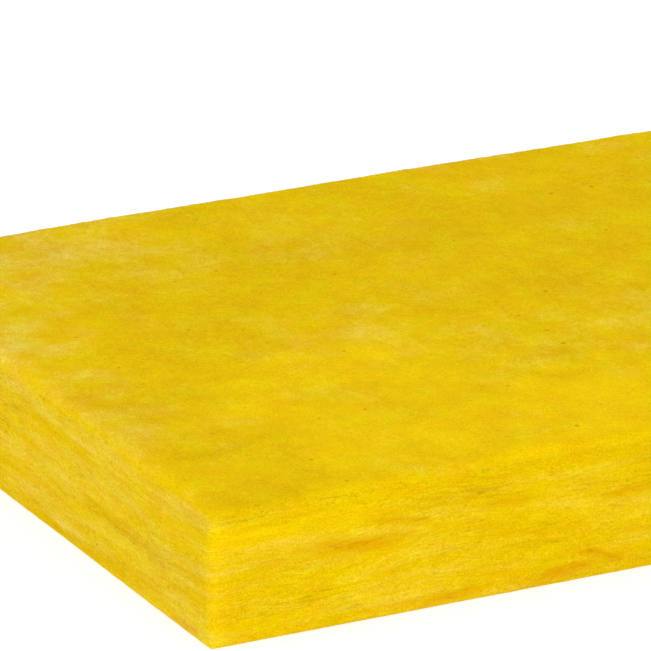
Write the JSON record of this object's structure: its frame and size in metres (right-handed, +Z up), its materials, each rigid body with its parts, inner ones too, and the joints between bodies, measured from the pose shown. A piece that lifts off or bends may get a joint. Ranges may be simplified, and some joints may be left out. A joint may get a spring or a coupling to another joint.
{
  "type": "glass wool insulation board",
  "caption": "Semi-rigid rectangular slab of glass wool for thermal and acoustic insulation, with soft rounded upper edges and tight lower ones.",
  "frame": {"origin": "middle of the underside, which lies on the floor", "axes": "+X along the board's length, +Y across its width, +Z up through its thickness to the softer of its two large faces"},
  "size_m": [1.2, 0.6, 0.1],
  "materials": {
    "glass_wool": "matte"
  },
  "bodies": {
    "root": {"glass_wool_board": "glass_wool"}
  },
  "joints": []
}
